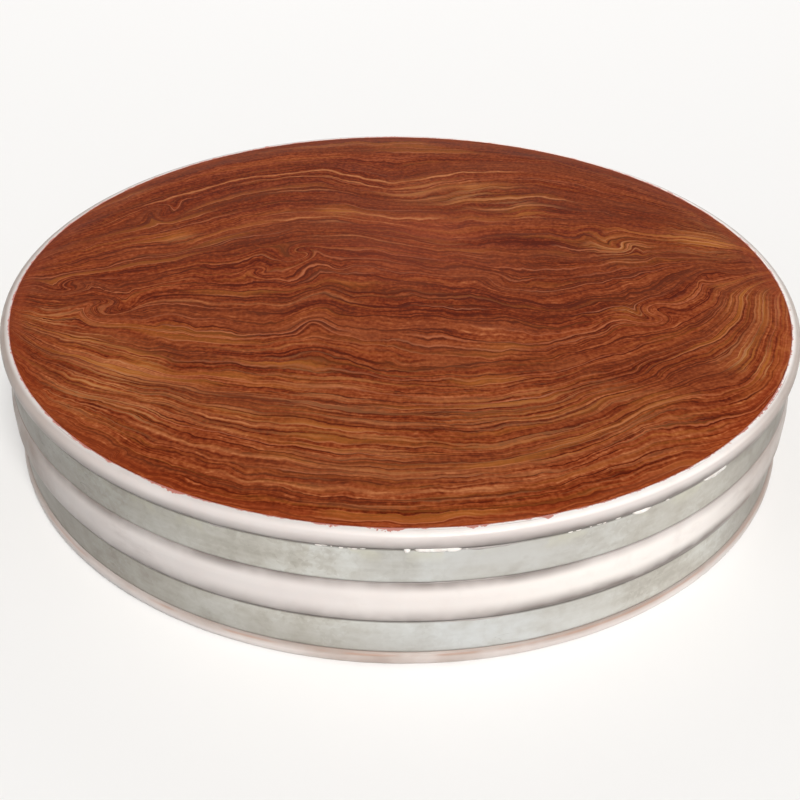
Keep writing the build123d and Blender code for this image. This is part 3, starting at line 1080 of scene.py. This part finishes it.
def make_steel():
    material, tree, shader = new_material("galvanised_sheet")
    place, x, y, z, unused = round_place(tree)
    cloudy = noise_node(place, 160, 3)
    shift = vector_math("SCALE", cloudy.outputs["Color"], 5 * mm)
    bent = vector_math("ADD", place, shift)
    crystal = crystals(bent, 130)
    patch = stretched_noise(x, y, z, 34, 50, 3, 0.7)
    frosted = noise(place, 22, 2).ramp(0.45, 0.65)
    streak = stretched_noise(x, y, z, 30, 700, 2)
    tone = patch.ramp(0.3, 0.7) * 0.45 + crystal * 0.14 + streak * 0.25
    tone = tone + crystals(bent, 620) * (frosted * 0.18 + 0.12)
    # A painted reflection: a pale bluish patch on the hoops' front
    painted_reflection = near(x + y * 0.12, 0.015, 0.085) * y.ramp(-0.01, 0.01, 0.6, 0)
    painted_reflection = painted_reflection * patch.ramp(0.25, 0.6, 0.45, 1)
    # Darker in the middle of the lower hoop's front
    lower_front_darker = near(x, -0.035, 0.11) * y.ramp(-0.01, 0.01, 0.4, 0) * near(z, lower_low.z, 20 * mm)
    warm = noise(place, 7, 2).ramp(0.5, 0.68)
    film = noise(place, 60, 3, 0.6).ramp(0.5, 0.62) * near(z, upper_high.z - 2 * mm, 6 * mm)
    # Painted shade at the left and right ends of the strip, where the light falls off
    side_shade = x.ramp(-0.19, -0.03, 0.85, 0) + x.ramp(0.125, 0.18, 0, 0.8)
    # Painted shade along the hoops' edges, darkest under the plastic above, and at the right under the lip,
    # with some grime
    right_shade_and_grime = near(z, upper_high.z, 7 * mm) * x.ramp(0.125, 0.155, 0, 0.5)
    edge_lines = [near(z, edge, 1 * mm) * darkness for edge, darkness in hoop_edges]
    grime = noise(place, 45, 3, 0.7)
    scratch = near(stretched_noise(x, y, z, 60, 260, 1), 0.5, 0.012)
    scratch = scratch * noise(place, 25, 1).ramp(0.58, 0.66)
    base = paint(colour_ramp(tone, zinc_greys), [
        (painted_reflection, (211, 216, 219)),
        (lower_front_darker, (132, 127, 120)),
        (warm * 0.35, (176, 167, 153)),
        (film * 0.45, (204, 202, 183)),
        (side_shade, (112, 106, 97)),
        (gather("MAXIMUM", [*edge_lines, right_shade_and_grime]), (108, 101, 95)),
        (grime.ramp(0.6, 0.74) * 0.2, (120, 104, 88)),
        (scratch * 0.5, (96, 94, 90)),
    ])
    roughness = crystal * 0.1 + grime.ramp(0.4, 0.7) * 0.12 + 0.36
    fill(shader, {"Base Color": base, "Metallic": 0.5, "Roughness": roughness})
    relief = crystal * 0.15 + Wire(cloudy.outputs[0]) * 0.5 + streak * 0.25 - scratch * 0.5
    add_bump(shader, relief, 0.12 * mm, 0.5)
    return material


steel = make_steel()
print("steel nodes:", len(steel.node_tree.nodes))

# %% The aluminium
def make_aluminium():
    material, tree, shader = new_material("aluminium")
    place = round_place(tree)[0]
    fine_noise = noise(place, 900, 3, 0.6)
    ding = add(tree, "ShaderNodeTexVoronoi", {"Vector": place, "Scale": 700})
    dent = Wire(ding.outputs["Distance"]).ramp(0.1, 0.5)
    dull = noise(place, 300, 2).ramp(0.35, 0.7)
    coats = [(dull, (146, 146, 144)), (dent.ramp(0, 0.4, 0.4, 0), (120, 118, 114))]
    base = paint(colour(178, 179, 180), coats)
    roughness = fine_noise.ramp(0.3, 0.7, 0.28, 0.5)
    fill(shader, {"Base Color": base, "Metallic": 0.8, "Roughness": roughness})
    add_bump(shader, dent * 0.6 + fine_noise * 0.3, 0.1 * mm, 0.6)
    return material


aluminium = make_aluminium()
print("aluminium nodes:", len(aluminium.node_tree.nodes))

# %% [markdown]
# ## The hoops
#
# Each hoop is one strip of sheet steel. It starts under the lap, goes once round in the groove,
# steps out by its own thickness and ends over its start. The tree's rise makes the step, so the
# same turned section serves here, with a sweep of a little more than a full turn.

# %% The hoops' section and laps
edge_round = 0.18 * mm
lap_length = 36 * mm
lap_gap = 0.05 * mm
step_length = 5 * mm
step_end_gap = 0.8 * mm
lap_bearings = {"upper_hoop": math.radians(78), "lower_hoop": math.radians(104)}
hoop_steps = 900


def hoop_section(low, high):
    """A flat strip with slightly rounded edges, standing on its edge."""
    inside = hoop_radius - hoop_thickness
    corners = [
        ((hoop_radius - edge_round, high - edge_round), 90, 0),
        ((hoop_radius - edge_round, low + edge_round), 0, -90),
        ((inside + edge_round, low + edge_round), -90, -180),
        ((inside + edge_round, high - edge_round), 180, 90),
    ]
    points = []
    for number, (centre, first, last) in enumerate(corners):
        points += arc(centre, edge_round, first, last, 3)
        following, next_first, unused = corners[(number + 1) % len(corners)]
        end = arc(centre, edge_round, last, last, 1)[0]
        next_start = arc(following, edge_round, next_first, next_first, 1)[0]
        points += straight(end, next_start, 10 if number == 0 else 2)
    return points


def close_ends(piece):
    """Closes the open ends of a strip with a face each."""
    shape = bmesh.new()
    shape.from_mesh(piece.data)
    rims = [edge for edge in shape.edges if len(edge.link_faces) == 1]
    bmesh.ops.holes_fill(shape, edges=rims)
    shape.to_mesh(piece.data)
    shape.free()


def make_hoop(node_name, seed):
    low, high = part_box(node_name)
    once_round = math.tau - (step_end_gap + step_length) / hoop_radius
    values = {
        "Start": lap_bearings[node_name] - lap_length / 2 / hoop_radius,
        "Sweep": math.tau + lap_length / hoop_radius,
        "Rise": hoop_thickness + lap_gap,
        "Rise Start": once_round,
        "Rise End": once_round + step_length / hoop_radius,
        "Uneven": 0.25 * mm,
        "Seed": seed,
    }
    hoop = turned("block_" + node_name, hoop_section(low.z, high.z), steel, hoop_steps, **values)
    close_ends(hoop)
    face_outward(hoop)
    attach(hoop, "root")
    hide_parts(node_name)


make_hoop("upper_hoop", 21.0)
make_hoop("lower_hoop", 57.0)

# %% [markdown]
# ## The rivets
#
# Two rivets close each lap. Their heads are low domes, pressed by hand, so no two sit quite alike.
# One rivet is turned from its section, and a tree of its own puts copies of it on points that face
# outward from the rim, each tilted a little.

# %% The rivet tree
most_tilt = 0.02


def make_rivet_tree():
    tree, given = geometry_tree("rivets_on_points", [], ["Seed"], ["Rivet"])
    body = add(tree, "GeometryNodeObjectInfo", {"Object": given["Rivet"]})
    x, y, unused = own_place(tree)
    tilt = add(tree, "FunctionNodeRandomValue", {"Seed": given["Seed"]}, data_type="FLOAT_VECTOR")
    fill(tilt, {"Min": (-most_tilt,) * 3, "Max": (most_tilt,) * 3})
    direction = vector_math("NORMALIZE", combine(x, y, 0))
    direction = vector_math("ADD", direction, tilt.outputs[0])
    facing = add(tree, "FunctionNodeAlignRotationToVector", {"Vector": direction}, axis="Z")
    copies = add(tree, "GeometryNodeInstanceOnPoints", {"Points": given["Geometry"]})
    fill(copies, {"Instance": body.outputs["Geometry"], "Rotation": facing.outputs[0]})
    return finish_tree(copies.outputs[0], given["Material"])


# %% The four rivets
rivet_spacing = 18 * mm
head_radius = 3.75 * mm
head_height = 0.85 * mm
shank_radius = 2.0 * mm
tail_radius = 2.6 * mm
tail_thickness = 0.6 * mm
rivet_steps = 32


def dome(count):
    """The head's outline from its top to its edge, as (radius, height) points."""
    radius = (head_radius ** 2 + head_height ** 2) / (2 * head_height)
    reach = math.degrees(math.asin(head_radius / radius))
    return arc((0.0, head_height - radius), radius, 90, 90 - reach, count)


shank_end = -(2 * hoop_thickness + lap_gap)
rivet_section = [
    *dome(8),
    (head_radius, 0.0),
    (shank_radius, 0.0),
    (shank_radius, shank_end),
    (tail_radius, shank_end),
    (tail_radius, shank_end - tail_thickness),
    (0.0, shank_end - tail_thickness),
]
one_rivet = turned("one_rivet", rivet_section, aluminium, rivet_steps)
face_outward(one_rivet)
rivet_places = []
for node_name, bearing in lap_bearings.items():
    low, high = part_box(node_name)
    for side in (-1, 1):
        angle = bearing + side * rivet_spacing / 2 / hoop_radius
        rivet_places.append((math.degrees(angle), (low.z + high.z) / 2))
lap_surface = hoop_radius + hoop_thickness + lap_gap
rivet_points = round_points("rivet_places", lap_surface, rivet_places)
rivet_values = {"Rivet": one_rivet, "Seed": 4, "Material": aluminium}
rivets = grow("block_rivets", make_rivet_tree(), rivet_points, rivet_values)
bpy.data.objects.remove(one_rivet)
print("rivet faces:", len(rivets.data.polygons))
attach(rivets, "root")
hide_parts("lap_rivets")

# %% [markdown]
# ## Floor and backdrop
#
# The block was photographed on white. A wide white floor and a white world stand in for the paper.
# What the camera sees is one thing and what lights the block is another: rays from the camera, and
# those that it sees in shiny things, meet plain white, while the diffuse light that falls on the
# block is softer. It is stronger from the front and the back and weak from the sides, as it was in
# the photograph, and the floor throws a different share of it back to each side.

# %% The floor
floor_half = 6.0
floor_grey = 0.87
bright_right = 0.31
bright_front = 0.95
floor_mesh = bpy.data.meshes.new("studio_floor")
floor_corners = [(-1, -1), (1, -1), (1, 1), (-1, 1)]
floor_points = [(x * floor_half, y * floor_half, 0) for x, y in floor_corners]
floor_mesh.from_pydata(floor_points, [], [(0, 1, 2, 3)])
floor = bpy.data.objects.new("studio_floor", floor_mesh)
bpy.context.scene.collection.objects.link(floor)


def make_floor_white():
    material, tree, shader = new_material("floor_white")
    x, y, unused = separate(add(tree, "ShaderNodeTexCoord").outputs["Object"])
    away = (x * x + y * y).math("SQRT")
    bright_side = (x * bright_right - y * bright_front) / away
    bounce = bright_side.ramp(0.55, 1, 0.2, 0.8) + bright_side.ramp(-1, -0.2, 0.55, 0)
    indirect = Wire(add(tree, "ShaderNodeLightPath").outputs["Is Diffuse Ray"])
    grey = (bounce - floor_grey) * indirect + floor_grey
    fill(shader, {"Base Color": combine(grey, grey, grey), "Roughness": 0.9})
    return material


floor_mesh.materials.append(make_floor_white())
print("floor", 2 * floor_half, "m wide")

# %% The world
world = bpy.data.worlds.new("studio")
bpy.context.scene.world = world
world.use_nodes = True
world_tree = world.node_tree
world_tree.nodes.clear()
sky_x, sky_y, unused = separate(add(world_tree, "ShaderNodeTexCoord").outputs["Generated"])
soft_light = sky_x.ramp(-1, 1, 0.19, 0.12) + sky_y.ramp(-1, 0.3, 0.39, 0)
soft_light = soft_light + sky_y.ramp(0.1, 1, 0, 0.3)
rays = add(world_tree, "ShaderNodeLightPath").outputs
seen_rays = ("Is Camera Ray", "Is Glossy Ray", "Is Transmission Ray")
seen = gather("MAXIMUM", [Wire(rays[name]) for name in seen_rays])
cool_white = (0.96, 0.97, 1.0, 1.0)
sky_colour = blend_colour(seen, cool_white, (1.0, 1.0, 1.0, 1.0))
sky_inputs = {"Color": sky_colour, "Strength": soft_light.math("MAXIMUM", seen)}
background = add(world_tree, "ShaderNodeBackground", sky_inputs)
add(world_tree, "ShaderNodeOutputWorld", {"Surface": background.outputs[0]})
print("world nodes:", len(world_tree.nodes))

# %% [markdown]
# ## The lamps
#
# A wide sun from the upper front gives the block most of its light. It brings out the bulge and
# casts the short, soft shadow. A small lamp behind lays a faint sheen on the wood.

# %% The key light and the sheen light
key_height = math.radians(50)
key_bearing = math.radians(-72)
key_level = math.cos(key_height)
key_towards = (key_level * math.cos(key_bearing), key_level * math.sin(key_bearing), math.sin(key_height))
sheen_place = (0.0, 1.3, 1.0)
sheen_aim = (0, 0, 0.05)


def add_lamp(name, kind, towards, place=(0, 0, 0), **settings):
    """Adds a lamp that shines against the direction towards."""
    data = bpy.data.lights.new(name, kind)
    for setting, value in settings.items():
        setattr(data, setting, value)
    lamp = bpy.data.objects.new(name, data)
    lamp.location = place
    lamp.rotation_euler = Vector(towards).to_track_quat("Z", "Y").to_euler()
    bpy.context.scene.collection.objects.link(lamp)


sheen_towards = Vector(sheen_place) - Vector(sheen_aim)
add_lamp("sheen_light", "AREA", sheen_towards, sheen_place, shape="DISK", size=0.6, energy=1.2)
add_lamp("key_light", "SUN", key_towards, color=(1.0, 0.97, 0.93), energy=3.0, angle=math.radians(25))

# %% [markdown]
# ## The camera
#
# The camera stands where the photographer's did. Its place, its lens and its slight roll were
# found by fitting the block's rim and hoop edges to the ellipses in the photograph.

# %% The camera
camera_place = Vector((0.0, -0.50998, 0.34631))
camera_target = Vector((0.00017, 0.0, -0.00691))
camera_roll = math.radians(0.737)
camera_data = bpy.data.cameras.new("photo_camera")
camera_data.lens = 49.98
camera_data.sensor_width = 36.0
camera = bpy.data.objects.new("photo_camera", camera_data)
look = (camera_target - camera_place).to_track_quat("-Z", "Y").to_matrix().to_4x4()
camera.matrix_world = Matrix.Translation(camera_place) @ look @ Matrix.Rotation(camera_roll, 4, "Z")
bpy.context.scene.collection.objects.link(camera)
bpy.context.scene.camera = camera
bpy.context.scene.view_settings.view_transform = "Standard"
print(f"camera {(camera_target - camera_place).length:.3f} m from its target")
